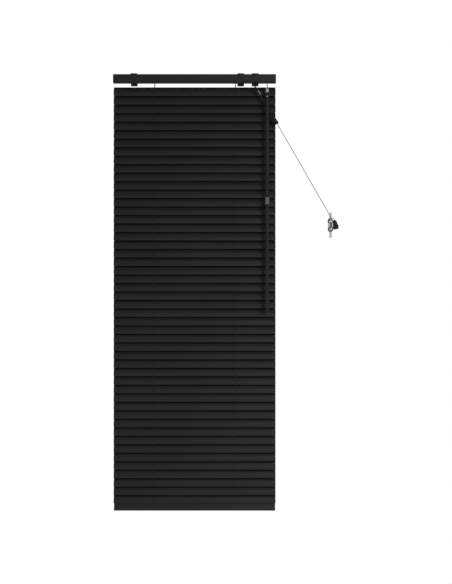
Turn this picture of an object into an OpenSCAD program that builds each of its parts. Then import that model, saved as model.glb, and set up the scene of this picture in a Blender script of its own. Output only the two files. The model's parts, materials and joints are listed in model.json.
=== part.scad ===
// Venetian blind, hung by its brackets, slats closed with their front edges down.
// X runs along the slats, +Y points at the wall, +Z up. The origin is on the ceiling plane,
// midway between the outer brackets' screws, and the slats turn about lines at y = 0.

/* [Blind] */
// Length of the headrail with its end caps
headrail_length = 412; // [380:1:600]
// Length of a slat
slat_length = 410; // [380:1:598]
// Number of slats
slat_count = 49; // [10:1:49]
// Distance from one slat to the next
slat_pitch = 21.5; // [18:0.1:26]
// Tilt of the closed slats from level, in degrees
closed_tilt = 66; // [55:1:68]
// Distance of each ladder from the middle
ladder_x = 102.5; // [60:0.5:105]
// Distance from the headrail's underside to the first slat's axis
first_slat_drop = 20.9; // [20:0.1:40]
// Distance from the last slat's axis to the bottom rail's axis
bottom_rail_drop = 18; // [16:0.1:30]

/* [Slat] */
// Width of a slat
slat_width = 25; // [20:0.5:26]
// Height of the slat's curve
slat_crown = 1.8; // [1.2:0.1:2.2]
// Thickness of the slat's sheet
slat_thickness = 0.25; // [0.2:0.01:0.4]

/* [Headrail] */
// Depth of the headrail, front to back
headrail_depth = 25; // [25:0.5:40]
// Height of the headrail
headrail_height = 21.4; // [21:0.2:30]
// Thickness of the headrail's sheet
headrail_wall = 0.6; // [0.5:0.1:1]
// Width of the rolled lip along each top edge
headrail_lip = 2; // [1:0.5:4]
// Thickness of an end cap
end_cap_wall = 1.5; // [1:0.5:3]

/* [Tilt mechanism] */
// Diameter of the tilt rod
rod_d = 5; // [4:0.1:5.5]
// Radial running clearance of a shaft in its bore
running_fit = 0.06; // [0.02:0.01:0.1]
// Depth of the tilt rod's axis below the ceiling plane
rod_drop = 11.5; // [11:0.1:12]
// Diameter of the tilt drums
drum_d = 8; // [6.5:0.1:8]
// Number of teeth on the worm wheel
wheel_teeth = 12; // [10:1:16]
// Tip diameter of the worm wheel
wheel_d = 8.2; // [7:0.1:8.4]
// Diameter of the worm
worm_d = 4.4; // [4:0.1:4.6]
// Slope of the worm shaft from the vertical, in degrees
worm_slope = 60; // [58:1:62]

/* [Wand] */
// Distance of the wand from the middle
wand_x = 183.3; // [150:0.1:190]
// Distance of the wand in front of the slats' axes
wand_y = 23; // [21:0.5:30]
// Diameter of the wand's rods
wand_d = 7.8; // [5:0.1:9]
// Length of the upper rod
upper_rod = 255.4; // [150:1:300]
// Length of the lower rod
lower_rod = 267.1; // [150:1:300]
// Length of the connector between the rods
connector_length = 17.6; // [12:0.1:25]
// Diameter of the connector
connector_d = 11; // [10:0.5:14]

/* [Brackets] */
// Distance of the outer brackets from the middle
bracket_x = 153.5; // [120:0.5:170]
// Place of the third bracket, beside the cord lock
middle_bracket_x = 117; // [114:0.5:120]
// Width of a bracket
bracket_width = 17; // [12:0.5:20]
// Thickness of the bracket's top plate, which sets the headrail below the ceiling
bracket_plate = 2; // [1.5:0.1:3]
// Thickness of the bracket's back plate, which sets the headrail off the wall
bracket_back = 2.5; // [2.2:0.1:6]
// How far the bracket's back plate reaches below the headrail
bracket_tail = 6.2; // [5:0.1:20]
// Screw hole radius
screw_hole_r = 2.25; // [1.5:0.05:3]

/* [Bottom rail] */
// Length of the bottom rail
bottom_rail_length = 408; // [380:1:598]
// Width of the bottom rail
bottom_rail_width = 25; // [20:0.5:26]
// Thickness of the bottom rail
bottom_rail_height = 8; // [6:0.1:8]
// Wall of the bottom rail
bottom_rail_wall = 1; // [0.8:0.1:2]

/* [Cords] */
// Diameter of the lift cords and the pull cord
cord_d = 1.2; // [1:0.1:1.3]
// Diameter of the ladder strings
string_d = 0.7; // [0.5:0.05:0.8]
// Distance of a ladder string from the slat's edge
string_gap = 1.4; // [1.3:0.05:1.6]

/* [Wall cleat] */
// Length of the cleat
cleat_length = 63.6; // [60:0.1:80]
// Width of the cleat's horns
horn_width = 6.6; // [6:0.1:7]
// Distance between the cleat's two screws
cleat_screw_pitch = 14; // [12:0.5:16]
// Radius of the cleat's screw holes
cleat_hole_r = 1.75; // [1.5:0.05:2]

/* [Hidden] */
$fn = 48;
eps = 0.01;
// gap that keeps pieces of one node apart where they are pressed or glued together
seam = 0.04;
function two_digits(k) = str(k < 10 ? "0" : "", k);
function slat_name(k) = str("slat_", two_digits(k));

// Levels and planes
headrail_top = -bracket_plate;
headrail_bottom = headrail_top - headrail_height;
floor_z = headrail_bottom + headrail_wall;
half_depth = headrail_depth / 2;
inner_half = half_depth - headrail_wall;
wall_y = half_depth + bracket_back;
first_slat_z = headrail_bottom - first_slat_drop;
last_slat_z = first_slat_z - (slat_count - 1) * slat_pitch;
bottom_rail_z = last_slat_z - bottom_rail_drop;
rod_z = -rod_drop;
function slat_z(k) = first_slat_z - (k - 1) * slat_pitch;

// The lift cords hang behind everything that turns
cord_behind_y = slat_width / 2 + 1.2;
lift_cord_side = -1.6;
// A slat's section: u across the slat, w along its upward normal, both from the turning axis
slat_radius = ((slat_width / 2)^2 + slat_crown^2) / (2 * slat_crown);
apex_w = 0.3;
edge_w = apex_w - slat_crown;
string_u = slat_width / 2 + string_gap;
// Place of a section point at rest, as [y, z] from the axis
function tilted(u, w) = [u * cos(closed_tilt) - w * sin(closed_tilt),
                         u * sin(closed_tilt) + w * cos(closed_tilt)];
front_string = tilted(-string_u, edge_w);
back_string = tilted(string_u, edge_w);
string_tail = 1.2;
lead_in_start = 5;
lead_in_rise = 17;
lead_in_top = 29.3;
lead_in_shift = string_u - inner_half + string_d / 2 + 0.25;

// Ladder openings in the headrail's floor
ladder_hole = 10;
cradle_half = 8;
cradle_wall = 2;
fitting_gap = 0.3;
fitting_half = inner_half - fitting_gap;
bearing_r = rod_d / 2 + running_fit;

// Cord lock
lock_start = 138;
lock_end = 161;
lock_hole = [16, 11];
lock_hole_centre = [150, -6];
lock_top = -6;
lock_cavity_y = [-10, 4];
lift_cord_z = -19;
left_cord_y = -1.9;

// Worm drive: the worm lies below the rod's axis and slopes down towards the room
worm_offset = wheel_d / 2 + worm_d / 2 + 0.2;
worm_axis = [0, -sin(worm_slope), -cos(worm_slope)];
worm_middle = [wand_x, worm_offset * cos(worm_slope), rod_z - worm_offset * sin(worm_slope)];
worm_reach = (wand_y + worm_middle[1]) / sin(worm_slope);
ball_z = worm_middle[2] - worm_reach * cos(worm_slope);
ball_r = 1.2;
shaft_r = 0.8;
socket_gap = 0.2;
socket_wall = 0.6;
housing_half = 11.5;
chamber_half = 4.6;

// Wand levels
stem_r = 0.75;
sleeve_top = ball_z - 7.8;
sleeve_length = 9.4;
sleeve_r = 3.9;
collar_length = 9;
collar_r = 3.6;
upper_top = sleeve_top - sleeve_length - collar_length;

// Cleat
cleat_x = 344.4;
cleat_z = -383.5;
cleat_base = [12, 30, 3];
post_half = 12.5;
post_width = 7.4;
horn_back = 0;
horn_thick = 4;

// Pull cord: points from the cord lock, along the taut line, round the cleat to the tassel
pull_points = [
    [147, 0, -19], [149.6, -4, -20.4], [150.4, -9, -24.5], [152, -13, -31], [156.8, -16, -39],
    [163, -17, -49], [183, -17.5, -83.4], [196.6, -18, -107], [209, -18.5, -128.5],
    [240, -13.9, -181.8], [280, -7.9, -250.5], [320, -1.9, -319.3], [339.7, 1, -353.1],
    [344, 1.5, -361.5], [347.2, 1.6, -366.9], [349.3, 0.2, -371.1], [349.4, -4.2, -374.3],
    [345.4, -5.2, -379.7], [343.7, -5.2, -385.7], [339.5, -4.2, -390.1], [339.6, 0.1, -393.5],
    [341.2, 1.5, -396.5], [344.4, 2, -397.8], [347.6, 1.4, -396.4], [349.2, 0, -393.7],
    [349.4, -4.4, -390.7], [345.3, -6.6, -385.9], [343.5, -6.6, -379.9], [339.4, -4.6, -375.5],
    [339.6, 0.2, -371.9], [341.2, 2.6, -368.9], [344.6, 3.2, -368.1], [347.8, 3.2, -369.3],
    [350.6, 0.8, -372.9], [350.8, -5, -376.5], [346.7, -7.9, -381.3], [345.1, -7.9, -387.1],
    [338.8, -5.2, -392.1], [338.3, 0.4, -395.5], [340.6, 2.2, -398.7], [344.4, 2.4, -399.3],
    [348.2, 2.2, -398.3], [350.5, 0.2, -395.1], [350.8, -5.4, -391.5], [346.6, -9.3, -386.9],
    [344.7, -9.3, -380.9], [338.1, -5.6, -375.9], [338.2, 0.4, -371.5], [340.4, 3.4, -367.3],
    [344.6, 4.4, -366.1], [348, 4.4, -366.6], [350.8, 4.1, -366.5], [353.4, 3.2, -367.6],
    [354.6, 2.2, -370.3], [355.2, 2.2, -372.6]];
// The left lift cord ends in the condenser
left_points = [
    [146, -1.9, -19], [148, -4.6, -20.4], [148.6, -9, -24.5], [150.2, -13, -31],
    [155, -16, -39.2], [161.3, -17, -49.9], [181.4, -17.5, -84.5], [195.6, -18, -108.9]];
stop_at = [163, -17, -49];
condenser_top = [196.6, -18, -107];
condenser_end = [209, -18.5, -128.5];
tassel_top = [354.6, 2, -370.3];
tassel_end = [359.2, 4.5, -393.2];
tassel_rim = 4;

// ---- helpers ----

// A bar's section, width by height, with round corners, made of exact shapes
module rounded_section(width, height, r) {
    square([width - 2 * r, height], center = true);
    square([width, height - 2 * r], center = true);
    for (sx = [-1, 1], sy = [-1, 1])
        translate([sx * (width / 2 - r), sy * (height / 2 - r)]) circle(r);
}

// Extrudes a [y, z] section along X, centred
module along_x(length) {
    rotate([90, 0, 90]) linear_extrude(length, center = true) children();
}

// Turns +Z onto a direction, at a point
module placed_along(p, d) {
    translate(p) rotate([0, acos(d[2] / norm(d)), atan2(d[1], d[0])]) children();
}

// A smooth curve through the points, with a number of steps in each span
function unit(v) = v / norm(v);
function tangent(p, i) = unit(p[min(i + 1, len(p) - 1)] - p[max(i - 1, 0)]);
function curve_point(a, b, way_a, way_b, t) =
    let (reach = norm(b - a))
    (2 * t^3 - 3 * t^2 + 1) * a + (t^3 - 2 * t^2 + t) * reach * way_a
    + (3 * t^2 - 2 * t^3) * b + (t^3 - t^2) * reach * way_b;
function smooth_path(p, steps) = concat(
    [for (i = [0:len(p) - 2], s = [0:steps - 1])
        curve_point(p[i], p[i + 1], tangent(p, i), tangent(p, i + 1), s / steps)],
    [p[len(p) - 1]]);

// A tube of eight sides that follows the path
sides = 8;
function side_way(t) = abs(t[0]) + abs(t[2]) > 0.2 ? unit(cross(t, [0, 1, 0])) : [1, 0, 0];
module tube_along(path, d) {
    last = len(path) - 1;
    rings = [for (i = [0:last])
        let (t = tangent(path, i), a = side_way(t), b = cross(t, a))
        for (k = [0:sides - 1])
            path[i] + d / 2 * (cos(360 * k / sides) * a + sin(360 * k / sides) * b)];
    walls = [for (i = [0:last - 1], k = [0:sides - 1])
        let (a = i * sides + k, b = i * sides + (k + 1) % sides)
        each [[a, b, b + sides], [a, b + sides, a + sides]]];
    ends = [[for (k = [sides - 1:-1:0]) k], [for (k = [0:sides - 1]) last * sides + k]];
    polyhedron(points = rings, faces = concat(ends, walls), convexity = 10);
}

// ---- headrail ----

module headrail_section() {
    difference() {
        translate([-half_depth, headrail_bottom]) square([headrail_depth, headrail_height]);
        translate([-inner_half, floor_z])
            square([2 * inner_half, headrail_height - 2 * headrail_wall]);
        translate([-half_depth + headrail_lip, floor_z])
            square([headrail_depth - 2 * headrail_lip, headrail_height]);
    }
}

module headrail_floor_holes() {
    for (s = [-1, 1])
        translate([s * ladder_x, 0, headrail_bottom]) cube([ladder_hole, 2 * inner_half, 4], center = true);
    translate([lock_hole_centre[0], lock_hole_centre[1], headrail_bottom])
        cube([lock_hole[0], lock_hole[1], 4], center = true);
    translate([wand_x, worm_middle[1] - (worm_middle[2] - headrail_bottom) * tan(worm_slope), headrail_bottom])
        cube([6, 8, 4], center = true);
}

module end_cap(side) {
    translate([side * (headrail_length - end_cap_wall) / 2, 0, headrail_bottom + headrail_height / 2])
        along_x(end_cap_wall) rounded_section(headrail_depth, headrail_height, 1.5);
    translate([side * (headrail_length / 2 - end_cap_wall - 2), 0, (floor_z + headrail_top - headrail_wall) / 2])
        along_x(4) square([2 * inner_half - 0.2, headrail_height - 2 * headrail_wall - 0.2], center = true);
}

module headrail() {
    color([0.13, 0.13, 0.135]) difference() {
        along_x(headrail_length - 2 * (end_cap_wall + seam)) headrail_section();
        headrail_floor_holes();
    }
    color([0.1, 0.1, 0.1]) for (side = [-1, 1]) end_cap(side);
}

// ---- fittings inside the headrail ----

module rod_cradle(x) {
    translate([x, 0, 0]) difference() {
        translate([-cradle_half, -fitting_half, floor_z])
            cube([2 * cradle_half, 2 * fitting_half, -floor_z - 6]);
        translate([0, 0, -5]) cube([2 * (cradle_half - cradle_wall), 2 * fitting_half + 1, 40], center = true);
        rotate([0, 90, 0]) translate([-rod_z, 0, 0]) cylinder(r = bearing_r, h = 60, center = true);
        translate([0, left_cord_y / 2, lift_cord_z])
            cube([40, 2 * cord_d - left_cord_y, 2 * cord_d], center = true);
    }
    for (s = [-1, 1])
        translate([x + s * (cradle_half + 1.5), 0, floor_z + 0.5])
            cube([3, 2 * fitting_half, 1], center = true);
}

module cord_lock() {
    lock_length = lock_end - lock_start;
    difference() {
        translate([lock_start, -fitting_half, floor_z]) cube([lock_length, 2 * fitting_half, lock_top - floor_z]);
        translate([lock_start - 1, 0, rod_z]) rotate([0, 90, 0])
            cylinder(r = rod_d / 2 + 0.5, h = lock_length + 2);
        translate([lock_start - 1, left_cord_y - cord_d, lift_cord_z - cord_d])
            cube([6, 2 * cord_d - left_cord_y, 2 * cord_d]);
        translate([lock_start + 4, lock_cavity_y[0], floor_z - 1])
            cube([14, lock_cavity_y[1] - lock_cavity_y[0], 7.4]);
        lock_pins(running_fit, 2);
    }
    lock_pins(0, 0);
}

// The fixed pin and the knurled roller that grip the cords, or the bores that hold them
module lock_pins(gap, longer) {
    span = lock_cavity_y[1] - lock_cavity_y[0] + 2 + longer;
    for (pin = [[lock_start + 6, lift_cord_z + 2.3, 0.8], [lock_start + 15.6, lift_cord_z + 1.4, 1.5]])
        translate([pin[0], (lock_cavity_y[0] + lock_cavity_y[1]) / 2, pin[1]]) rotate([90, 0, 0])
            cylinder(r = pin[2] + gap, h = span, center = true);
}

module tilter_housing() {
    difference() {
        translate([wand_x - housing_half, -fitting_half, floor_z])
            cube([2 * housing_half, 2 * fitting_half, -floor_z - 4]);
        translate([wand_x, 0, rod_z]) rotate([0, 90, 0]) {
            cylinder(r = bearing_r, h = 60, center = true);
            cylinder(r = wheel_d / 2 + 0.5, h = 2 * chamber_half, center = true);
        }
        placed_along(worm_middle - 6 * worm_axis, worm_axis) cylinder(r = worm_d / 2 + 0.4, h = 30);
    }
}

module rail_fittings() {
    color([0.16, 0.16, 0.17]) {
        rod_cradle(-ladder_x);
        rod_cradle(ladder_x);
        cord_lock();
        tilter_housing();
    }
}

// ---- pieces that are screwed to the building ----

module bracket(x) {
    hook = 1;
    translate([x, 0, 0]) difference() {
        union() {
            translate([-bracket_width / 2, -half_depth - hook, -bracket_plate])
                cube([bracket_width, wall_y + half_depth + hook, bracket_plate]);
            translate([-bracket_width / 2, -half_depth - hook, -bracket_plate - 4])
                cube([bracket_width, hook, 4 + eps]);
            translate([-bracket_width / 2, half_depth, headrail_bottom - bracket_tail])
                cube([bracket_width, bracket_back, bracket_tail - headrail_bottom]);
            translate([-bracket_width / 2, 5, headrail_bottom - 1])
                cube([bracket_width, half_depth - 5 + eps, 1]);
        }
        cylinder(r = screw_hole_r, h = 20, center = true);
        translate([0, wall_y, rod_z]) rotate([90, 0, 0]) cylinder(r = screw_hole_r, h = 6, center = true);
    }
}

module wall_cleat() {
    horn_y = horn_back - horn_thick / 2;
    translate([cleat_x, 0, cleat_z]) difference() {
        union() {
            translate([0, wall_y - cleat_base[2] / 2, 0]) rotate([90, 0, 0])
                linear_extrude(cleat_base[2], center = true) rounded_section(cleat_base[0], cleat_base[1], 5);
            translate([0, (wall_y + horn_back) / 2 - 0.5, 0]) rotate([90, 0, 0])
                linear_extrude(wall_y - horn_back - 1, center = true) rounded_section(post_width, 2 * post_half, 4);
            translate([0, horn_y, 0]) rotate([90, 0, 0]) linear_extrude(horn_thick, center = true)
                rounded_section(horn_width, cleat_length, horn_width / 2 - 0.1);
        }
        for (s = [-1, 1]) translate([0, 0, s * cleat_screw_pitch / 2]) rotate([90, 0, 0])
            cylinder(r = cleat_hole_r, h = 60, center = true);
    }
}

module wall_fixings() {
    color([0.12, 0.12, 0.12]) for (x = [-bracket_x, middle_bracket_x, bracket_x]) bracket(x);
    color([0.8, 0.8, 0.8]) wall_cleat();
}

// ---- tilt mechanism ----

module worm_wheel() {
    tooth = 360 / wheel_teeth;
    difference() {
        cylinder(d = wheel_d, h = 5, center = true);
        for (i = [0:wheel_teeth - 1]) rotate(i * tooth) translate([wheel_d / 2 + 0.1, 0, 0])
            cylinder(r = 0.55, h = 6, center = true);
        cylinder(r = rod_d / 2 + seam, h = 6, center = true);
    }
}

module tilt_rod() {
    rod_start = -ladder_x - 22;
    rod_end = wand_x + housing_half + 4;
    color([0.6, 0.6, 0.62]) translate([rod_start, 0, rod_z]) rotate([0, 90, 0])
        cylinder(d = rod_d, h = rod_end - rod_start);
    color([0.85, 0.85, 0.82]) {
        translate([wand_x, 0, rod_z]) rotate([0, 90, 0]) worm_wheel();
        for (s = [-1, 1]) translate([s * ladder_x, 0, rod_z]) rotate([0, 90, 0]) difference() {
            cylinder(d = drum_d, h = 2 * (cradle_half - cradle_wall) - 1, center = true);
            cylinder(r = rod_d / 2 + seam, h = 40, center = true);
        }
    }
}

module worm_shaft() {
    color([0.15, 0.15, 0.15]) {
        placed_along(worm_middle - 4.5 * worm_axis, worm_axis) cylinder(d = worm_d, h = 9);
        placed_along(worm_middle + 4 * worm_axis, worm_axis) cylinder(r = shaft_r, h = worm_reach - 4);
        translate([wand_x, -wand_y, ball_z]) sphere(ball_r);
    }
}

// ---- wand ----

module wand_hook() {
    outer = ball_r + socket_gap + socket_wall;
    difference() {
        union() {
            translate([0, 0, ball_z]) sphere(outer);
            translate([0, 0, sleeve_top]) cylinder(r = stem_r, h = ball_z - sleeve_top - ball_r - socket_gap - 0.2);
        }
        translate([0, 0, ball_z]) sphere(ball_r + socket_gap);
        translate([0, 0, ball_z - 0.4 + 5]) cube([20, 20, 10], center = true);
    }
}

// A straight piece of the wand that hangs below a level
module wand_piece(level, length, r) {
    translate([0, 0, level - length]) cylinder(r = r, h = length - seam);
}

module wand() {
    translate([wand_x, -wand_y, 0]) {
        color([0.4, 0.4, 0.4]) wand_hook();
        color([0.9, 0.9, 0.92]) wand_piece(sleeve_top, sleeve_length, sleeve_r);
        color([0.35, 0.35, 0.36]) wand_piece(upper_top + collar_length, collar_length, collar_r);
        color([0.17, 0.17, 0.17]) {
            wand_piece(upper_top, upper_rod, wand_d / 2);
            wand_piece(upper_top - upper_rod - connector_length, lower_rod, wand_d / 2);
        }
        color([0.5, 0.5, 0.5]) wand_piece(upper_top - upper_rod, connector_length, connector_d / 2);
    }
}

// ---- ladders ----

// The front or back strings of both ladders; they stay upright and move in a circle with the slats' edges
module ladder_strings(at, side) {
    top = first_slat_z + at[1];
    bottom = last_slat_z + at[1] - string_tail;
    inward = at[0] - side * lead_in_shift;
    for (s = [-1, 1]) translate([s * ladder_x, 0, 0])
        tube_along([[0, at[0], bottom], [0, at[0], top + lead_in_start], [0, inward, top + lead_in_rise],
                    [0, inward, top + lead_in_top]], string_d);
}

module ladder_front() color([0.1, 0.1, 0.1]) ladder_strings(front_string, -1);
module ladder_back() color([0.1, 0.1, 0.1]) ladder_strings(back_string, 1);

// ---- lift cords and pull cord ----

// A lift cord's held stretch: up behind the slats, over the headrail's floor and along under the rod
function held_points(ladder, y) = let (x = ladder - lift_cord_side) [
    [x, cord_behind_y, bottom_rail_z], [x, cord_behind_y, first_slat_z - 1],
    [x, cord_behind_y - 0.3, first_slat_z + 6], [x, cord_behind_y - 2, first_slat_z + 13.5],
    [x, 9, headrail_bottom - 1.6], [x + 0.4, 4.5, lift_cord_z - 1.6],
    [x + 2.5, y + 0.9, lift_cord_z - 0.1], [x + 7, y, lift_cord_z], [x + 14, y, lift_cord_z]];

module lift_cord() {
    color([0.08, 0.08, 0.08]) {
        tube_along(smooth_path(concat(held_points(ladder_x, 0), pull_points), 2), cord_d);
        tube_along(smooth_path(concat(held_points(-ladder_x, left_cord_y), left_points), 2), cord_d);
    }
}

module cord_ends() {
    color([0.1, 0.1, 0.1]) {
        placed_along(condenser_top, condenser_end - condenser_top) cylinder(r1 = 2.6, r2 = 5, h = norm(condenser_end - condenser_top));
        placed_along(tassel_top, tassel_end - tassel_top) let (flare = norm(tassel_end - tassel_top) - tassel_rim) {
            cylinder(r1 = 3.4, r2 = 7, h = flare);
            translate([0, 0, flare]) cylinder(r1 = 7, r2 = 5, h = tassel_rim);
        }
    }
    color([0.85, 0.85, 0.85]) placed_along(stop_at, [20, -0.2, -35]) cylinder(r = 3, h = 12, center = true);
}

// ---- slats and bottom rail ----

module slat_section() {
    intersection() {
        difference() {
            translate([0, apex_w - slat_radius]) circle(slat_radius + slat_thickness / 2, $fn = 200);
            translate([0, apex_w - slat_radius]) circle(slat_radius - slat_thickness / 2, $fn = 200);
        }
        translate([-slat_width / 2, -5]) square([slat_width, 10]);
    }
}

module slat(k) {
    color([0.14, 0.14, 0.145]) translate([0, 0, slat_z(k)]) rotate([closed_tilt, 0, 0])
        along_x(slat_length) slat_section();
}

module bottom_rail() {
    cap = 1.5;
    r = 3;
    inner = bottom_rail_length - 2 * cap;
    translate([0, 0, bottom_rail_z]) rotate([closed_tilt, 0, 0]) {
        color([0.14, 0.14, 0.145]) along_x(inner - 2 * seam) difference() {
            rounded_section(bottom_rail_width, bottom_rail_height, r);
            rounded_section(bottom_rail_width - 2 * bottom_rail_wall, bottom_rail_height - 2 * bottom_rail_wall,
                            r - bottom_rail_wall);
        }
        color([0.1, 0.1, 0.1]) {
            for (s = [-1, 1]) translate([s * (inner + cap) / 2, 0, 0]) along_x(cap)
                rounded_section(bottom_rail_width, bottom_rail_height, r);
            for (s = [-1, 1]) translate([s * ladder_x, 0, -bottom_rail_height / 2 - 0.6 - seam])
                cylinder(r = 5, h = 1.2, center = true);
        }
    }
}

headrail();
rail_fittings();
wall_fixings();
tilt_rod();
worm_shaft();
wand();
ladder_front();
ladder_back();
lift_cord();
cord_ends();
bottom_rail();
for (k = [1:slat_count]) slat(k);
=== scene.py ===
# %% [markdown]
# # A venetian blind in Blender
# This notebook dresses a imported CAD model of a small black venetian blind. The CAD part gives
# every size and every moving body; Blender gives the curved slats, the cords, the plastics and
# the enamel. Lengths are in metres. X runs along the slats, Y points at the wall, Z is up.

# %% Load the frame
import json
import math

import bmesh
import bpy
from mathutils import Matrix, Vector

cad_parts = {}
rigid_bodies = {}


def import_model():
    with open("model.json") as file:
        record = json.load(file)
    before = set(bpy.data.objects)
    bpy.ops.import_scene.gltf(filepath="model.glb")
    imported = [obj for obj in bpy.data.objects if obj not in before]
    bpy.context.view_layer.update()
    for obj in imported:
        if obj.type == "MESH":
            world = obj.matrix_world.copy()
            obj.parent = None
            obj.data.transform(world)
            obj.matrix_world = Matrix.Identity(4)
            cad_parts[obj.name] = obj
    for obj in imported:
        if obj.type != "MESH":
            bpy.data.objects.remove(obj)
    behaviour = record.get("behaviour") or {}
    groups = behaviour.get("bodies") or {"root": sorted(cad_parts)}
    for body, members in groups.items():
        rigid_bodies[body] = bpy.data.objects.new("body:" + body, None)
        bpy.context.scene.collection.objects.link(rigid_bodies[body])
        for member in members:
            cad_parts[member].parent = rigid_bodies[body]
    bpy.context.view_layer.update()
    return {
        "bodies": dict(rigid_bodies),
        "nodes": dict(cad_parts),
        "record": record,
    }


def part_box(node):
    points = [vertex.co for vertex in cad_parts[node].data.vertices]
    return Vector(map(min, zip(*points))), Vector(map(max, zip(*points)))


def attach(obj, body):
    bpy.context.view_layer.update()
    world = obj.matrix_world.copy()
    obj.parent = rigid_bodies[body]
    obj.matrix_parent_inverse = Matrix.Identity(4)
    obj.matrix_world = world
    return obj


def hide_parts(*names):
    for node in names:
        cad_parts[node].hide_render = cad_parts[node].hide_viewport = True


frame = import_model()
joints = {j["name"]: j for j in frame["record"]["behaviour"]["joints"]}
MM = 0.001

# %% [markdown]
# ## Sizes that the pieces share
# The joints of the frame say where each slat turns, so the levels are read from them. The tilt
# and the slat's section are design values of the part, repeated here once.

# %% Levels and shared sizes
closed_tilt = math.radians(66)
slat_count = sum(name.startswith("slat_") for name in frame["bodies"])
slat_names = [f"slat_{k:02d}" for k in range(1, slat_count + 1)]
slat_level = {name: joints[f"{name}_tilt"]["pos_m"][2] for name in slat_names}
slat_low, slat_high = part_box("slat_01")
slat_length = slat_high[0] - slat_low[0]
slat_width = 25 * MM
slat_crown = 1.8 * MM
slat_apex = 0.3 * MM
slat_corner = 1.4 * MM
ladder_x = 102.5 * MM
string_reach = slat_width / 2 + 1.4 * MM
string_d = 0.7 * MM
rail_low, rail_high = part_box("headrail")
wand_x, wand_y = joints["wand_turn"]["pos_m"][:2]
print(slat_count, "slats,", round(slat_length, 4), "m long, from", slat_level["slat_01"])


def tilted(u, w):
    """A point of a slat's section at rest, as (y, z) from its turning axis."""
    return (u * math.cos(closed_tilt) - w * math.sin(closed_tilt),
            u * math.sin(closed_tilt) + w * math.cos(closed_tilt))


# %% [markdown]
# ## The camera
# The camera stands far away with a long lens, so that the slats stay parallel. The lens follows
# from the height of the view and the distance.

# %% Camera
view_centre = Vector((0.0796, 0.0, -0.5526))
view_height = 1.4799
camera_distance = 4.0
camera_data = bpy.data.cameras.new("camera")
camera_data.sensor_fit = "VERTICAL"
camera_data.sensor_height = 36.0
camera_data.lens = camera_data.sensor_height * camera_distance / view_height
camera = bpy.data.objects.new("camera", camera_data)
bpy.context.collection.objects.link(camera)
camera.location = view_centre + Vector((0, -camera_distance, 0))
camera.rotation_euler = (math.pi / 2, 0, 0)
bpy.context.scene.camera = camera
print("lens", round(camera_data.lens, 1), "mm at", camera_distance, "m")

# %% [markdown]
# ## Small helpers
# A mesh is a list of points and a list of faces. These helpers turn such lists into objects,
# revolve an outline, sweep a round section along a path, and give a mesh its final normals.


# %% Mesh helpers
def in_scene(name, data):
    """A new object in the scene."""
    made = bpy.data.objects.new(name, data)
    bpy.context.collection.objects.link(made)
    return made


def add_mesh(name, points, faces, smooth=True):
    """A new object from points and faces, with its doubles merged and its faces turned outwards."""
    mesh = bpy.data.meshes.new(name)
    mesh.from_pydata([tuple(p) for p in points], [], faces)
    tidy_mesh(mesh, smooth)
    return in_scene(name, mesh)


def tidy_mesh(mesh, smooth=True, sharp_angle=35):
    """Merges doubles, turns faces outwards and marks sharp edges."""
    bm = bmesh.new()
    bm.from_mesh(mesh)
    bmesh.ops.remove_doubles(bm, verts=bm.verts, dist=1e-6)
    bmesh.ops.recalc_face_normals(bm, faces=bm.faces)
    for face in bm.faces:
        face.smooth = smooth
    bm.to_mesh(mesh)
    bm.free()
    if smooth:
        mesh.set_sharp_from_angle(angle=math.radians(sharp_angle))


def bake(piece):
    """Replaces the object's mesh with its evaluated one and drops its modifiers."""
    graph = bpy.context.evaluated_depsgraph_get()
    mesh = bpy.data.meshes.new_from_object(piece.evaluated_get(graph))
    piece.modifiers.clear()
    piece.data = mesh
    return piece


def joined(name, pieces):
    """One object from several, each with its own material."""
    bm = bmesh.new()
    materials = []
    for piece in pieces:
        part = bmesh.new()
        part.from_mesh(piece.data)
        own = piece.data.materials[0] if piece.data.materials else None
        if own not in materials:
            materials.append(own)
        for face in part.faces:
            face.material_index = materials.index(own)
        part.transform(piece.matrix_world)
        scratch = bpy.data.meshes.new("scratch")
        part.to_mesh(scratch)
        part.free()
        bm.from_mesh(scratch)
        bpy.data.meshes.remove(scratch)
        bpy.data.objects.remove(piece)
    mesh = bpy.data.meshes.new(name)
    bm.to_mesh(mesh)
    bm.free()
    for own in materials:
        if own:
            mesh.materials.append(own)
    return in_scene(name, mesh)


def bevelled(piece, width, segments=2, angle=30):
    """Rounds the piece's sharp edges."""
    modifier = piece.modifiers.new("bevel", "BEVEL")
    modifier.width = width
    modifier.segments = segments
    modifier.limit_method = "ANGLE"
    modifier.angle_limit = math.radians(angle)
    bake(piece)
    tidy_mesh(piece.data, sharp_angle=40)
    return piece


def cut(piece, cutters):
    """Cuts the cutter objects out of the piece and removes them."""
    for cutter in cutters:
        modifier = piece.modifiers.new("cut", "BOOLEAN")
        modifier.operation = "DIFFERENCE"
        modifier.solver = "EXACT"
        modifier.object = cutter
    bake(piece)
    for cutter in cutters:
        bpy.data.objects.remove(cutter)
    return piece


def turned(name, outline, origin=(0, 0, 0), axis=(0, 0, 1), steps=32):
    """Revolves (radius, height) points about an axis through origin; a radius of 0 closes a pole."""
    turn = Vector((0, 0, 1)).rotation_difference(Vector(axis)).to_matrix()
    points, rings = [], []
    for radius, height in outline:
        if radius < 1e-9:
            rings.append([len(points)])
            points.append(Vector((0, 0, height)))
            continue
        rings.append([len(points) + k for k in range(steps)])
        for k in range(steps):
            a = 2 * math.pi * k / steps
            points.append(Vector((radius * math.cos(a), radius * math.sin(a), height)))
    faces = []
    for low, high in zip(rings[:-1], rings[1:]):
        for k in range(steps):
            n = (k + 1) % steps
            if len(low) == 1 and len(high) > 1:
                faces.append((low[0], high[n], high[k]))
            elif len(high) == 1 and len(low) > 1:
                faces.append((low[k], low[n], high[0]))
            elif len(low) > 1:
                faces.append((low[k], low[n], high[n], high[k]))
    return add_mesh(name, [turn @ p + Vector(origin) for p in points], faces)


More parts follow.
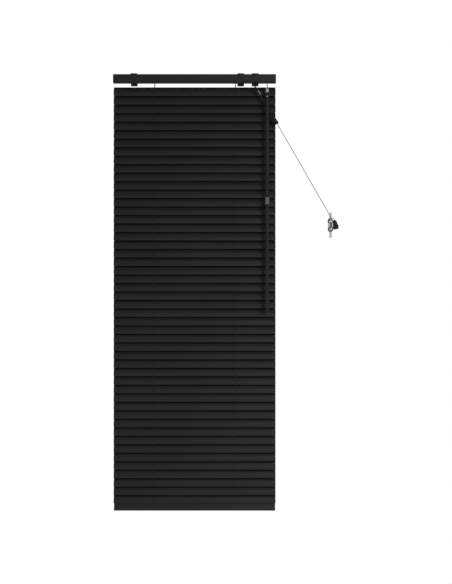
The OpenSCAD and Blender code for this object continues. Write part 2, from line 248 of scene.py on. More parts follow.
def extruded(name, outline, x0, x1):
    """A closed (y, z) outline extruded along X."""
    n = len(outline)
    points = [(x, y, z) for x in (x0, x1) for y, z in outline]
    faces = [tuple(range(n)), tuple(range(2 * n - 1, n - 1, -1))]
    faces += [(k, (k + 1) % n, n + (k + 1) % n, n + k) for k in range(n)]
    return add_mesh(name, points, faces)


def rounded_outline(width, height, radius, centre=(0, 0), steps=5):
    """A rectangle with round corners, as a list of points."""
    points = []
    for cx, cy, start in ((1, 1, 0), (-1, 1, 90), (-1, -1, 180), (1, -1, 270)):
        for s in range(steps + 1):
            a = math.radians(start + 90 * s / steps)
            points.append((centre[0] + cx * (width / 2 - radius) + radius * math.cos(a),
                           centre[1] + cy * (height / 2 - radius) + radius * math.sin(a)))
    return points


def block(name, low, high):
    """A plain box, used as a cutter."""
    outline = [(low[1], low[2]), (high[1], low[2]), (high[1], high[2]), (low[1], high[2])]
    return extruded(name, outline, low[0], high[0])


def drill(radius, reach, place, way):
    """A round cutter that reaches as far to both sides of its place."""
    return turned("drill", [(0, -reach), (radius, -reach), (radius, reach), (0, reach)], place, way)


# %% Paths and tubes
def unit_tangents(path):
    """The direction of a path at each of its points."""
    last = len(path) - 1
    return [(path[min(i + 1, last)] - path[max(i - 1, 0)]).normalized() for i in range(last + 1)]


def smooth_path(points, steps):
    """A smooth curve through given points, with steps points in each span."""
    points = [Vector(p) for p in points]
    ways = unit_tangents(points)
    curve = []
    for a, b, way_a, way_b in zip(points[:-1], points[1:], ways[:-1], ways[1:]):
        reach = (b - a).length
        for s in range(steps):
            t = s / steps
            curve.append((2 * t**3 - 3 * t**2 + 1) * a + (t**3 - 2 * t**2 + t) * reach * way_a
                         + (3 * t**2 - 2 * t**3) * b + (t**3 - t**2) * reach * way_b)
    return curve + [points[-1]]


def path_length(path):
    return sum((b - a).length for a, b in zip(path[:-1], path[1:]))


def skin_faces(rings, n):
    """The faces of a skin over rings of n points each, closed at both ends."""
    faces = [(i * n + k, i * n + (k + 1) % n, (i + 1) * n + (k + 1) % n, (i + 1) * n + k)
             for i in range(rings - 1) for k in range(n)]
    return faces + [tuple(range(n - 1, -1, -1)), tuple((rings - 1) * n + k for k in range(n))]


def tube(name, path, radius, sides=12):
    """A closed tube along a path. Its UV map holds the length in metres and the way round."""
    ways = unit_tangents(path)
    side = ways[0].orthogonal().normalized()
    points, along = [], [0.0]
    for i, (p, way) in enumerate(zip(path, ways)):
        if i:
            side = (ways[i - 1].rotation_difference(way) @ side).normalized()
            along.append(along[-1] + (p - path[i - 1]).length)
        other = way.cross(side)
        for k in range(sides):
            a = 2 * math.pi * k / sides
            points.append(p + radius * (math.cos(a) * side + math.sin(a) * other))
    mesh = bpy.data.meshes.new(name)
    mesh.from_pydata([tuple(p) for p in points], [], skin_faces(len(path), sides))
    mesh.uv_layers.new(name="along")
    layer = mesh.uv_layers["along"].data
    for face in mesh.polygons[:(len(path) - 1) * sides]:
        i, k = divmod(face.index, sides)
        corners = ((i, k), (i, k + 1), (i + 1, k + 1), (i + 1, k))
        for loop, (row, column) in zip(face.loop_indices, corners):
            layer[loop].uv = (along[row], column / sides)
    for face in mesh.polygons:
        face.use_smooth = True
    return in_scene(name, mesh)


def placed(piece, body, slot, material, *nodes):
    """Gives a finished piece its material and its body, and hides the CAD nodes it stands for. The slot is
    not used.
    """
    if material:
        piece.data.materials.clear()
        piece.data.materials.append(material)
    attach(piece, body)
    if nodes:
        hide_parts(*nodes)
    return piece


# %% [markdown]
# ## Shared shader groups
# Enamel and moulded plastic are never one flat colour: both have a fine grain, a slow drift in tone and a
# little dust. One node group makes that grain for all of them, from Object coordinates, and another makes the
# braid of the cords from the tube's own UV map, with painted shade that darkens the grooves between strands.


# %% Node helpers
def new_group(name, kind, inputs, outputs):
    """A node group and its two end nodes. An input is given its kind, or a float's default."""
    group = bpy.data.node_groups.new(name, kind)
    for label, value in inputs.items():
        is_kind = isinstance(value, str)
        socket = group.interface.new_socket(
            label, in_out="INPUT", socket_type=f"NodeSocket{value if is_kind else 'Float'}")
        if not is_kind:
            socket.default_value = value
    for label, value in outputs.items():
        group.interface.new_socket(label, in_out="OUTPUT", socket_type=f"NodeSocket{value}")
    return group, group.nodes.new("NodeGroupInput"), group.nodes.new("NodeGroupOutput")


def node(tree, kind, links=None, **settings):
    """Adds a node, sets its properties and gives its inputs sockets or plain values."""
    made = tree.nodes.new(kind)
    for label, value in settings.items():
        setattr(made, label, value)
    for label, value in (links or {}).items():
        if isinstance(value, bpy.types.NodeSocket):
            tree.links.new(value, made.inputs[label])
        else:
            made.inputs[label].default_value = value
    return made


def math_node(tree, operation, a, b=None, clamp=False):
    """A Math node of one or two sockets or numbers; returns its output."""
    values = {0: a} if b is None else {0: a, 1: b}
    return node(tree, "ShaderNodeMath", values, operation=operation, use_clamp=clamp).outputs[0]


def noise_node(tree, vector, scale, detail):
    """A noise texture; returns its output."""
    links = {"Vector": vector, "Scale": scale, "Detail": detail}
    return node(tree, "ShaderNodeTexNoise", links).outputs["Fac"]


# %% Grain group
def make_grain_group():
    """Fine grain, slow drift and dust from a vector: outputs Grain, Drift, Dust and Height."""
    group, start, end = new_group(
        "Surface grain", "ShaderNodeTree",
        {"Vector": "Vector", "Grain scale": 900.0, "Drift scale": 14.0, "Dust amount": 0.3},
        {"Grain": "Float", "Drift": "Float", "Dust": "Float", "Height": "Float"})
    vector = start.outputs["Vector"]
    grain = noise_node(group, vector, start.outputs["Grain scale"], 3.0)
    drift = noise_node(group, vector, start.outputs["Drift scale"], 5.0)
    specks = noise_node(group, vector, 2600.0, 1.0)
    dust = math_node(group, "MULTIPLY", math_node(group, "SUBTRACT", specks, 0.62, clamp=True), 4.0)
    dust = math_node(group, "MULTIPLY", dust, drift)
    dust = math_node(group, "MULTIPLY", dust, start.outputs["Dust amount"], clamp=True)
    group.links.new(grain, end.inputs["Grain"])
    group.links.new(drift, end.inputs["Drift"])
    group.links.new(dust, end.inputs["Dust"])
    group.links.new(math_node(group, "ADD", grain, math_node(group, "MULTIPLY", drift, 0.5)),
                    end.inputs["Height"])
    return group


# %% Braid group
def make_braid_group():
    """Crossing strands of a braided cord from a UV of length and turn: outputs Height and Shade, a painted
    shade that darkens the grooves between strands.
    """
    group, start, end = new_group(
        "Braid", "ShaderNodeTree", {"UV": "Vector", "Strands": 4.0, "Pitch": 600.0},
        {"Height": "Float", "Shade": "Float"})
    split = node(group, "ShaderNodeSeparateXYZ", {0: start.outputs["UV"]})
    along = math_node(group, "MULTIPLY", split.outputs["X"], start.outputs["Pitch"])
    round_way = math_node(group, "MULTIPLY", split.outputs["Y"], start.outputs["Strands"])
    waves = []
    for operation in ("ADD", "SUBTRACT"):
        turn = math_node(group, "MULTIPLY", math_node(group, operation, along, round_way), 2 * math.pi)
        waves.append(math_node(group, "SINE", turn))
    height = math_node(group, "ABSOLUTE", math_node(group, "MULTIPLY", waves[0], waves[1]))
    group.links.new(height, end.inputs["Height"])
    # Shade is painted shade: the grooves between strands get the darker colour.
    group.links.new(math_node(group, "ADD", math_node(group, "MULTIPLY", height, 0.5), 0.5),
                    end.inputs["Shade"])
    return group


grain_group = make_grain_group()
braid_group = make_braid_group()
print("shader groups:", grain_group.name, "and", braid_group.name)


# %% [markdown]
# ## Materials
# Each finish keeps its own Principled BSDF. The groups feed only its colour, roughness and
# bump; the plain numbers, such as metallic and transmission, are set on the shader itself.


# %% Parts of a material
def new_finish(name, **settings):
    """A new material with these shader values, its node tree and its Principled shader."""
    material = bpy.data.materials.new(name)
    material.use_nodes = True
    shader = material.node_tree.nodes["Principled BSDF"]
    for label, value in settings.items():
        shader.inputs[label.replace("_", " ")].default_value = value
    return material, material.node_tree, shader


def mixed(tree, a, b, factor):
    """A colour between a and b, each a colour or a socket."""
    a, b = [(*end, 1) if isinstance(end, tuple) else end for end in (a, b)]
    links = {"A": a, "B": b, "Factor": factor}
    return node(tree, "ShaderNodeMix", links, data_type="RGBA").outputs["Result"]


def add_relief(tree, shader, height, strength, distance):
    """Bumps the shader's surface by a height."""
    relief = node(tree, "ShaderNodeBump", {"Height": height, "Strength": strength, "Distance": distance})
    tree.links.new(relief.outputs["Normal"], shader.inputs["Normal"])


# %% Grained and braided finishes
dust_colour = (0.25, 0.25, 0.24)


def grained(name, dark, light, rough=(0.4, 0.5), bump=0.02, grain_scale=900.0, dust=0.3,
            stretch=(1, 1, 1), **settings):
    """A finish whose tone drifts between dark and light, with grain in roughness and bump."""
    material, tree, shader = new_finish(name, **settings)
    coordinates = node(tree, "ShaderNodeTexCoord")
    mapping = node(tree, "ShaderNodeMapping", {"Vector": coordinates.outputs["Object"], "Scale": stretch})
    grain = node(tree, "ShaderNodeGroup", {
        "Vector": mapping.outputs[0], "Grain scale": grain_scale, "Dust amount": dust}, node_tree=grain_group)
    tone = mixed(tree, dark, light, grain.outputs["Drift"])
    tree.links.new(mixed(tree, tone, dust_colour, grain.outputs["Dust"]), shader.inputs["Base Color"])
    roughness = node(tree, "ShaderNodeMapRange", {
        "Value": grain.outputs["Grain"], "To Min": rough[0], "To Max": rough[1]})
    tree.links.new(roughness.outputs["Result"], shader.inputs["Roughness"])
    add_relief(tree, shader, grain.outputs["Height"], bump, 0.0005)
    return material


def braided(name, dark, light, strands, pitch):
    """A braided cord: the group's Shade, a painted shade that darkens the grooves between strands, drives
    colour and its height drives the bump.
    """
    material, tree, shader = new_finish(name, Roughness=0.7, Sheen_Weight=0.15, Sheen_Roughness=0.4)
    uv = node(tree, "ShaderNodeUVMap", uv_map="along")
    braid = node(tree, "ShaderNodeGroup", {
        "UV": uv.outputs[0], "Strands": strands, "Pitch": pitch}, node_tree=braid_group)
    tree.links.new(mixed(tree, dark, light, braid.outputs["Shade"]), shader.inputs["Base Color"])
    add_relief(tree, shader, braid.outputs["Height"], 0.6, 0.0002)
    return material


# %% The finishes
slat_enamel = grained("slat enamel", (0.0165, 0.0168, 0.017), (0.0205, 0.0208, 0.021),
                      rough=(0.42, 0.5), bump=0.03, stretch=(0.25, 1, 1), Specular_IOR_Level=0.4)
rail_enamel = grained("headrail enamel", (0.0155, 0.0155, 0.016), (0.019, 0.019, 0.0195),
                      rough=(0.36, 0.44), bump=0.03, Specular_IOR_Level=0.4)
bracket_enamel = grained("bracket enamel", (0.012, 0.012, 0.0125), (0.016, 0.016, 0.016),
                         rough=(0.4, 0.5), bump=0.04, Specular_IOR_Level=0.4)
black_plastic = grained("moulded black plastic", (0.018, 0.018, 0.018), (0.024, 0.024, 0.024),
                        rough=(0.5, 0.6), bump=0.05, grain_scale=1500.0, Specular_IOR_Level=0.35)
wand_plastic = grained("wand plastic", (0.034, 0.034, 0.035), (0.04, 0.04, 0.041),
                       rough=(0.62, 0.7), bump=0.01, Specular_IOR_Level=0.22)
smoke_plastic = grained("smoke plastic", (0.022, 0.022, 0.022), (0.03, 0.03, 0.03),
                        rough=(0.55, 0.65), bump=0.02, Specular_IOR_Level=0.25)
grey_plastic = grained("clouded grey plastic", (0.19, 0.192, 0.195), (0.23, 0.232, 0.235),
                       rough=(0.45, 0.55), bump=0.02, Specular_IOR_Level=0.3)
frosted_plastic = grained("frosted plastic", (0.68, 0.685, 0.69), (0.76, 0.765, 0.77),
                          rough=(0.3, 0.4), bump=0.01, dust=0.0, Transmission_Weight=0.15)
clear_plastic = grained("clear plastic", (0.9, 0.91, 0.92), (0.95, 0.95, 0.96),
                        rough=(0.05, 0.09), bump=0.01, dust=0.0, Transmission_Weight=1.0, IOR=1.45)
cleat_plastic = grained("clouded cleat plastic", (0.5, 0.505, 0.51), (0.58, 0.585, 0.59),
                        rough=(0.22, 0.3), bump=0.02, dust=0.1, Transmission_Weight=0.85, IOR=1.2)
steel = grained("zinc plated steel", (0.5, 0.5, 0.52), (0.62, 0.62, 0.64), rough=(0.25, 0.4),
                bump=0.03, stretch=(1, 6, 6), Metallic=1.0)
dark_steel = grained("blackened steel", (0.04, 0.04, 0.042), (0.06, 0.06, 0.062),
                     rough=(0.3, 0.42), bump=0.04, Metallic=0.9)
# The dark and light colours of the cords paint the shade in the grooves of their braids.
cord_braid = braided("pull cord braid", (0.004, 0.004, 0.004), (0.022, 0.022, 0.023), 4.0, 420.0)
string_braid = braided("ladder string braid", (0.006, 0.006, 0.006), (0.026, 0.026, 0.027), 3.0, 800.0)
print("materials:", len(bpy.data.materials))

# %% [markdown]
# ## The cords
# Two lift cords run up behind the slats, along the headrail and out through the cord lock. They pass a clear
# stop together and meet in a condenser; one cord goes on, is held taut by the cleat, winds round it in two
# figures of eight and ends in a tassel. The points are listed here and are the ones the CAD tube follows.

# %% Routes of the cords
cord_d = 1.5 * MM


def held_route(x, y):
    """A lift cord from the bottom rail up behind the slats and over into the headrail."""
    return [(x, 0.0137, -1.0943), (x, 0.0137, -0.046), (x, 0.0134, -0.039), (x, 0.0117, -0.0315),
            (x, 0.009, -0.025), (x + 0.0004, 0.0045, -0.0206), (x + 0.0025, y + 0.0009, -0.0191),
            (x + 0.007, y, -0.019), (x + 0.014, y, -0.019)]


lock_right = [(0.147, 0, -0.019), (0.1496, -0.004, -0.0204), (0.1504, -0.009, -0.0245)]
lock_left = [(0.146, -0.0019, -0.019), (0.148, -0.0046, -0.0204), (0.1486, -0.009, -0.0245)]
pull_route = [
    (0.1504, -0.009, -0.0245), (0.152, -0.013, -0.031), (0.1568, -0.016, -0.039), (0.163, -0.017, -0.049),
    (0.183, -0.0175, -0.0834), (0.1966, -0.018, -0.107), (0.209, -0.0185, -0.1285),
    (0.24, -0.0139, -0.1818), (0.28, -0.0079, -0.2505), (0.32, -0.0019, -0.3193), (0.3397, 0.001, -0.3531),
    (0.344, 0.0015, -0.3615), (0.3472, 0.0016, -0.3669), (0.3493, 0.0002, -0.3711),
    (0.3494, -0.0042, -0.3743), (0.3454, -0.0052, -0.3797), (0.3437, -0.0052, -0.3857),
    (0.3395, -0.0042, -0.3901), (0.3396, 0.0001, -0.3935), (0.3412, 0.0015, -0.3965),
    (0.3444, 0.002, -0.3978), (0.3476, 0.0014, -0.3964), (0.3492, 0, -0.3937), (0.3494, -0.0044, -0.3907),
    (0.3453, -0.0066, -0.3859), (0.3435, -0.0066, -0.3799), (0.3394, -0.0046, -0.3755),
    (0.3396, 0.0002, -0.3719), (0.3412, 0.0026, -0.3689), (0.3446, 0.0032, -0.3681),
    (0.3478, 0.0032, -0.3693), (0.3506, 0.0008, -0.3729), (0.3508, -0.005, -0.3765),
    (0.3467, -0.0079, -0.3813), (0.3451, -0.0079, -0.3871), (0.3388, -0.0052, -0.3921),
    (0.3383, 0.0004, -0.3955), (0.3406, 0.0022, -0.3987), (0.3444, 0.0024, -0.3993),
    (0.3482, 0.0022, -0.3983), (0.3505, 0.0002, -0.3951), (0.3508, -0.0054, -0.3915),
    (0.3466, -0.0093, -0.3869), (0.3447, -0.0093, -0.3809), (0.3381, -0.0056, -0.3759),
    (0.3382, 0.0004, -0.3715), (0.3404, 0.0034, -0.3673), (0.3446, 0.0044, -0.3661),
    (0.348, 0.0044, -0.3666), (0.3508, 0.0041, -0.3665), (0.3534, 0.0032, -0.3676),
    (0.3546, 0.0022, -0.3703), (0.3552, 0.0022, -0.3726)]
left_route = [
    (0.1486, -0.009, -0.0245), (0.1502, -0.013, -0.031), (0.155, -0.016, -0.0392),
    (0.1613, -0.017, -0.0499), (0.1814, -0.0175, -0.0845), (0.1956, -0.018, -0.1089)]

# %% Pull cord and lift cords
pull_path = smooth_path(pull_route, 8)
left_path = smooth_path(left_route, 8)
pull_cord = tube("pull_cord", pull_path, cord_d / 2)
left_cord = tube("left_cord", left_path, cord_d / 2)
held_right = tube("lift_cord_right", smooth_path(held_route(0.1041, 0) + lock_right, 6), cord_d / 2)
held_left = tube("lift_cord_left", smooth_path(held_route(-0.1009, -0.0019) + lock_left, 6), cord_d / 2)
for piece in (pull_cord, left_cord, held_right, held_left):
    placed(piece, "frame", "cord", cord_braid, "lift_cord")
print("pull cord", round(path_length(pull_path), 4), "m, second cord", round(path_length(left_path), 4), "m")

# %% [markdown]
# ## What is on the cord
# The condenser, the tassel and the stop are turned pieces, so each is one outline revolved
# about the cord's own direction.

# %% Condenser, tassel and stop
def on_cord(name, outline, start, way, material, steps=32):
    """A turned piece threaded on a cord; its outline (radius, distance) is in millimetres."""
    points = [(radius * MM, distance * MM) for radius, distance in outline]
    return placed(turned(name, points, start, way, steps), "frame", "cord_ends", material, "cord_ends")


condenser_top = Vector((0.1966, -0.018, -0.107))
condenser_end = Vector((0.209, -0.0185, -0.1285))
condenser = on_cord("condenser", [
    (0.9, 0), (2.4, 0), (2.9, 0.6), (3.1, 2), (3.4, 7), (4.1, 15), (4.7, 22.5), (4.9, 23.8), (4.6, 24.7),
    (4.1, 24.8), (3.7, 23), (2.6, 12), (0.9, 4), (0.9, 0)],
    condenser_top, (condenser_end - condenser_top).normalized(), black_plastic, 40)
tassel_top = Vector((0.3545, 0.002, -0.3703))
tassel_end = Vector((0.3591, 0.0045, -0.3932))
tassel = on_cord("tassel", [
    (0.8, 0.2), (2.2, 0), (3.2, 0.5), (3.8, 1.8), (4.4, 4), (5.3, 7.5), (6.4, 11.5), (7.1, 15.5),
    (7.3, 18.8), (7.3, 20.2), (7, 21.4), (6.1, 22.5), (5, 23.3), (3.5, 23.6), (3.1, 23), (2.8, 12),
    (0.8, 6), (0.8, 0.2)],
    tassel_top, (tassel_end - tassel_top).normalized(), black_plastic, 48)
stop_middle = Vector((0.163, -0.017, -0.049))
stop_way = Vector((0.02, -0.0002, -0.035)).normalized()
cord_stop = on_cord("cord_stop", [
    (1.2, -5.8), (2.2, -6), (2.8, -5.4), (3, -4), (3, -1.2), (2.4, -0.6), (2.4, 0.6), (3, 1.2), (3, 4),
    (2.8, 5.4), (2.2, 6), (1.2, 5.8), (1.2, -5.8)], stop_middle, stop_way, clear_plastic)


# %% [markdown]
# ## Geometry Nodes for the slats
# Forty-nine slats are the same curved strip at forty-nine levels. One node tree bends a flat
# grid into the crowned section, rounds its corners, gives it thickness and tilts it. Each
# body gets its own copy of the result, because each slat turns about its own line.


# %% Geometry Nodes helper
def grown(name, tree, values):
    """An object made by a geometry tree with these input values, as a plain mesh."""
    piece = in_scene(name, bpy.data.meshes.new(name))
    modifier = piece.modifiers.new("grow", "NODES")
    modifier.node_group = tree
    for item in tree.interface.items_tree:
        if item.item_type == "SOCKET" and item.in_out == "INPUT" and item.name in values:
            modifier[item.identifier] = values[item.name]
    piece.update_tag()
    return bake(piece)


# %% Slat tree
def make_slat_tree():
    """A crowned strip with round corners, tilted about X and moved to its level."""
    tree, start, end = new_group("Slat", "GeometryNodeTree", {
        "Length": 0.41, "Width": 0.025, "Crown": 0.0018, "Apex": 0.0003, "Corner": 0.003,
        "Thickness": 0.00025, "Tilt": 1.0, "Level": 0.0, "Material": "Material"}, {"Geometry": "Geometry"})
    value = start.outputs
    grid = node(tree, "GeometryNodeMeshGrid", {
        "Size X": value["Length"], "Size Y": value["Width"], "Vertices X": 28, "Vertices Y": 19})
    split = node(tree, "ShaderNodeSeparateXYZ",
                 {"Vector": node(tree, "GeometryNodeInputPosition").outputs[0]})
    u = split.outputs["Y"]
    half = math_node(tree, "MULTIPLY", value["Width"], 0.5)
    share = math_node(tree, "DIVIDE", u, half)
    fall = math_node(tree, "MULTIPLY", math_node(tree, "MULTIPLY", share, share), value["Crown"])
    w = math_node(tree, "SUBTRACT", value["Apex"], fall)
    into_corner = math_node(tree, "SUBTRACT", math_node(tree, "ABSOLUTE", u),
                            math_node(tree, "SUBTRACT", half, value["Corner"]))
    into_corner = math_node(tree, "MAXIMUM", into_corner, 0.0)
    corner_squared = math_node(tree, "MULTIPLY", value["Corner"], value["Corner"])
    depth_squared = math_node(tree, "MULTIPLY", into_corner, into_corner)
    arc = math_node(tree, "SQRT", math_node(
        tree, "MAXIMUM", math_node(tree, "SUBTRACT", corner_squared, depth_squared), 0.0))
    half_length = math_node(tree, "MULTIPLY", value["Length"], 0.5)
    end_x = math_node(tree, "ADD", math_node(tree, "SUBTRACT", half_length, value["Corner"]), arc)
    x = math_node(tree, "MULTIPLY", split.outputs["X"], math_node(tree, "DIVIDE", end_x, half_length))
    bent = node(tree, "GeometryNodeSetPosition", {
        "Geometry": grid.outputs["Mesh"],
        "Position": node(tree, "ShaderNodeCombineXYZ", {"X": x, "Y": u, "Z": w}).outputs[0]})
    top = node(tree, "GeometryNodeExtrudeMesh", {
        "Mesh": bent.outputs[0], "Offset Scale": value["Thickness"], "Individual": False}, mode="FACES")
    underside = node(tree, "GeometryNodeFlipFaces", {"Mesh": bent.outputs[0]})
    both = node(tree, "GeometryNodeJoinGeometry")
    tree.links.new(top.outputs["Mesh"], both.inputs[0])
    tree.links.new(underside.outputs[0], both.inputs[0])
    closed = node(tree, "GeometryNodeMergeByDistance", {"Geometry": both.outputs[0], "Distance": 1e-6})
    turn = node(tree, "ShaderNodeCombineXYZ", {"X": value["Tilt"]})
    place = node(tree, "ShaderNodeCombineXYZ", {"Z": value["Level"]})
    moved = node(tree, "GeometryNodeTransform", {
        "Geometry": closed.outputs[0], "Rotation": turn.outputs[0], "Translation": place.outputs[0]})
    real = node(tree, "GeometryNodeRealizeInstances", {"Geometry": moved.outputs[0]})
    painted = node(tree, "GeometryNodeSetMaterial", {
        "Geometry": real.outputs[0], "Material": value["Material"]})
    tree.links.new(painted.outputs[0], end.inputs[0])
    return tree


slat_tree = make_slat_tree()
for name in slat_names:
    strip = grown(f"{name}_strip", slat_tree, {
        "Length": slat_length, "Width": slat_width, "Crown": slat_crown, "Apex": slat_apex,
        "Corner": slat_corner, "Tilt": closed_tilt, "Level": slat_level[name], "Material": slat_enamel})
    tidy_mesh(strip.data)
    placed(strip, name, "slats", slat_enamel, name)
print("slats made:", slat_count, "with", len(strip.data.polygons), "faces each")


# %% [markdown]
# ## Geometry Nodes for the rungs
# Under each slat lie two rungs, thin cords that join a ladder's front string to its back one.
# They tilt with the slat, so they ride on the same body.


# %% Rung tree
def make_rung_tree():
    """Two rungs at plus and minus the ladder's place, sagging a little under the slat."""
    tree, start, end = new_group("Rungs", "GeometryNodeTree", {
        "Ladder": 0.1, "Reach": 0.0139, "Under": -0.0018, "Radius": 0.00035, "Tilt": 1.0, "Level": 0.0,
        "Material": "Material"}, {"Geometry": "Geometry"})
    value = start.outputs
    back = math_node(tree, "MULTIPLY", value["Reach"], -1.0)
    low = math_node(tree, "SUBTRACT", value["Under"], 0.0005)
    bend = node(tree, "GeometryNodeCurvePrimitiveBezierSegment", {"Resolution": 10}, mode="POSITION")
    back_handle = math_node(tree, "MULTIPLY", back, 0.4)
    front_handle = math_node(tree, "MULTIPLY", value["Reach"], 0.4)
    for label, y, z in (("Start", back, value["Under"]), ("Start Handle", back_handle, low),
                        ("End Handle", front_handle, low), ("End", value["Reach"], value["Under"])):
        tree.links.new(node(tree, "ShaderNodeCombineXYZ", {"Y": y, "Z": z}).outputs[0], bend.inputs[label])
    ring = node(tree, "GeometryNodeCurvePrimitiveCircle", {"Radius": value["Radius"], "Resolution": 8})
    rung = node(tree, "GeometryNodeCurveToMesh", {
        "Curve": bend.outputs[0], "Profile Curve": ring.outputs[0], "Fill Caps": True})
    first = node(tree, "ShaderNodeCombineXYZ", {"X": math_node(tree, "MULTIPLY", value["Ladder"], -1.0)})
    step = node(tree, "ShaderNodeCombineXYZ", {"X": math_node(tree, "MULTIPLY", value["Ladder"], 2.0)})
    line = node(tree, "GeometryNodeMeshLine", {
        "Count": 2, "Start Location": first.outputs[0], "Offset": step.outputs[0]})
    copies = node(tree, "GeometryNodeInstanceOnPoints", {
        "Points": line.outputs[0], "Instance": rung.outputs[0]})
    real = node(tree, "GeometryNodeRealizeInstances", {"Geometry": copies.outputs[0]})
    moved = node(tree, "GeometryNodeTransform", {
        "Geometry": real.outputs[0],
        "Rotation": node(tree, "ShaderNodeCombineXYZ", {"X": value["Tilt"]}).outputs[0],
        "Translation": node(tree, "ShaderNodeCombineXYZ", {"Z": value["Level"]}).outputs[0]})
    painted = node(tree, "GeometryNodeSetMaterial", {
        "Geometry": moved.outputs[0], "Material": value["Material"]})
    tree.links.new(painted.outputs[0], end.inputs[0])
    return tree


rung_material = grained("rung cord", (0.006, 0.006, 0.006), (0.02, 0.02, 0.021), rough=(0.6, 0.75),
                        bump=0.3, grain_scale=3000.0, dust=0.0)
rung_tree = make_rung_tree()
edge_level = slat_apex - slat_crown
rung_drop = 0.6 * MM
rung_radius = 0.3 * MM
for name in slat_names:
    rungs = grown(f"{name}_rungs", rung_tree, {
        "Ladder": ladder_x, "Reach": string_reach - string_d, "Under": edge_level - rung_drop,
        "Radius": rung_radius, "Tilt": closed_tilt, "Level": slat_level[name], "Material": rung_material})
    tidy_mesh(rungs.data)
    placed(rungs, name, "ladder", rung_material)
print("rungs made:", 2 * slat_count)

# %% [markdown]
# ## Ladder strings
# The front strings are one body and the back strings another: they stay upright and move in a
# circle as the slats tilt.

# %% Front and back strings
lead_in_start = 5 * MM
lead_in_end = 17 * MM
lead_in_shift = 2.6 * MM
for node_name, side in (("ladder_front", -1), ("ladder_back", 1)):
    low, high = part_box(node_name)
    y, dz = tilted(side * string_reach, edge_level)
    top = slat_level["slat_01"] + dz
    inner_y = y - side * lead_in_shift
    strings = []
    for s in (-1, 1):
        x = s * ladder_x
        route = [(x, y, low[2]), (x, y, top), (x, y, top + lead_in_start),
                 (x, (y + inner_y) / 2, top + (lead_in_start + lead_in_end) / 2),
                 (x, inner_y, top + lead_in_end), (x, inner_y, high[2])]
        strings.append(tube(f"{node_name}_{s}", smooth_path(route, 4), string_d / 2, sides=8))
    pair = joined(f"{node_name}_strings", strings)
    placed(pair, node_name, "ladder", string_braid, node_name)
print("ladder strings run from", round(low[2], 4), "to", round(high[2], 4))

# %% [markdown]
# ## The headrail
# The headrail is folded from one strip of steel: a floor, two walls and two rolled lips. Its
# section is a line with round bends, given the sheet's thickness, and the holes for the cords
# and the wand are cut afterwards.


# %% Headrail
def folded_line(corners, radius, steps=4):
    """A line of straight runs with round bends."""
    line = [Vector(corners[0])]
    for before, here, after in zip(corners[:-2], corners[1:-1], corners[2:]):
        before, here, after = Vector(before), Vector(here), Vector(after)
        a = here + (before - here).normalized() * radius
        b = here + (after - here).normalized() * radius
        for s in range(steps + 1):
            t = s / steps
            line.append((1 - t)**2 * a + 2 * t * (1 - t) * here + t**2 * b)
    return line + [Vector(corners[-1])]


def folded_sheet(name, line, x0, x1, thickness, columns=24):
    """A sheet with this (y, z) section along X, with its thickness to both sides."""
    n = len(line)
    xs = [x0 + (x1 - x0) * c / columns for c in range(columns + 1)]
    points = [(x, p[0], p[1]) for x in xs for p in line]
    faces = [(c * n + k, c * n + k + 1, (c + 1) * n + k + 1, (c + 1) * n + k)
             for c in range(columns) for k in range(n - 1)]
    piece = add_mesh(name, points, faces)
    modifier = piece.modifiers.new("sheet", "SOLIDIFY")
    modifier.thickness = thickness
    modifier.offset = 0
    bake(piece)
    tidy_mesh(piece.data)
    return piece


def floor_hole(x0, x1, y0, y1):
    """A cutter through the headrail's floor."""
    return block("hole", (x0, y0, rail_low[2] - 1 * MM), (x1, y1, rail_low[2] + 1 * MM))


sheet = 0.6 * MM
cap_wall = 1.5 * MM
lip = 2.0 * MM
lip_fold = 1.6 * MM
back_y, front_y = rail_high[1] - sheet / 2, rail_low[1] + sheet / 2
floor_z, lip_z = rail_low[2] + sheet / 2, rail_high[2] - sheet / 2
section = folded_line([
    (front_y + lip, lip_z - lip_fold), (front_y + lip, lip_z), (front_y, lip_z), (front_y, floor_z),
    (back_y, floor_z), (back_y, lip_z), (back_y - lip, lip_z), (back_y - lip, lip_z - lip_fold)], 0.9 * MM)
channel = folded_sheet("headrail_channel", section, rail_low[0] + cap_wall, rail_high[0] - cap_wall, sheet)
half_hole, hole_margin = 5 * MM, 0.4 * MM
holes = [floor_hole(s * ladder_x - half_hole, s * ladder_x + half_hole, front_y + hole_margin,
                    back_y - hole_margin) for s in (-1, 1)]
holes.append(floor_hole(142 * MM, 158 * MM, -11.5 * MM, -0.5 * MM))
holes.append(floor_hole(wand_x - 3 * MM, wand_x + 3 * MM, -11.6 * MM, -3.6 * MM))
cut(channel, holes)
tidy_mesh(channel.data)
placed(channel, "frame", "headrail", rail_enamel, "headrail")
rail_middle = (rail_low[2] + rail_high[2]) / 2
for side, x0, x1 in ((-1, rail_low[0], rail_low[0] + cap_wall), (1, rail_high[0] - cap_wall, rail_high[0])):
    outline = rounded_outline(rail_high[1] - rail_low[1], rail_high[2] - rail_low[2], 1.5 * MM,
                              (0, rail_middle))
    cap = bevelled(extruded("cap", outline, x0 + 0.02 * MM, x1 - 0.02 * MM), 0.35 * MM)
    placed(cap, "frame", "headrail", black_plastic, "headrail")
    cap.name = "end_cap_left" if side < 0 else "end_cap_right"
print("headrail faces:", len(channel.data.polygons))

# %% [markdown]
# ## The bottom rail
# The bottom rail is an extruded bar with soft edges, a cap in each end and a plug under each
# ladder. It is modelled level and tilted with the slats.

# %% Bottom rail
rail_axis = Vector(joints["bottom_rail_tilt"]["pos_m"])
rail_turn = Matrix.Translation(rail_axis) @ Matrix.Rotation(closed_tilt, 4, "X")
bottom_low, bottom_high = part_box("bottom_rail")
end_x = bottom_high[0]


def in_bottom_rail(piece, name, material):
    """Tilts a piece into the bottom rail's place and lets it ride there."""
    piece.data.transform(rail_turn)
    piece.name = name
    return placed(piece, "bottom_rail", "bottom_rail", material, "bottom_rail")


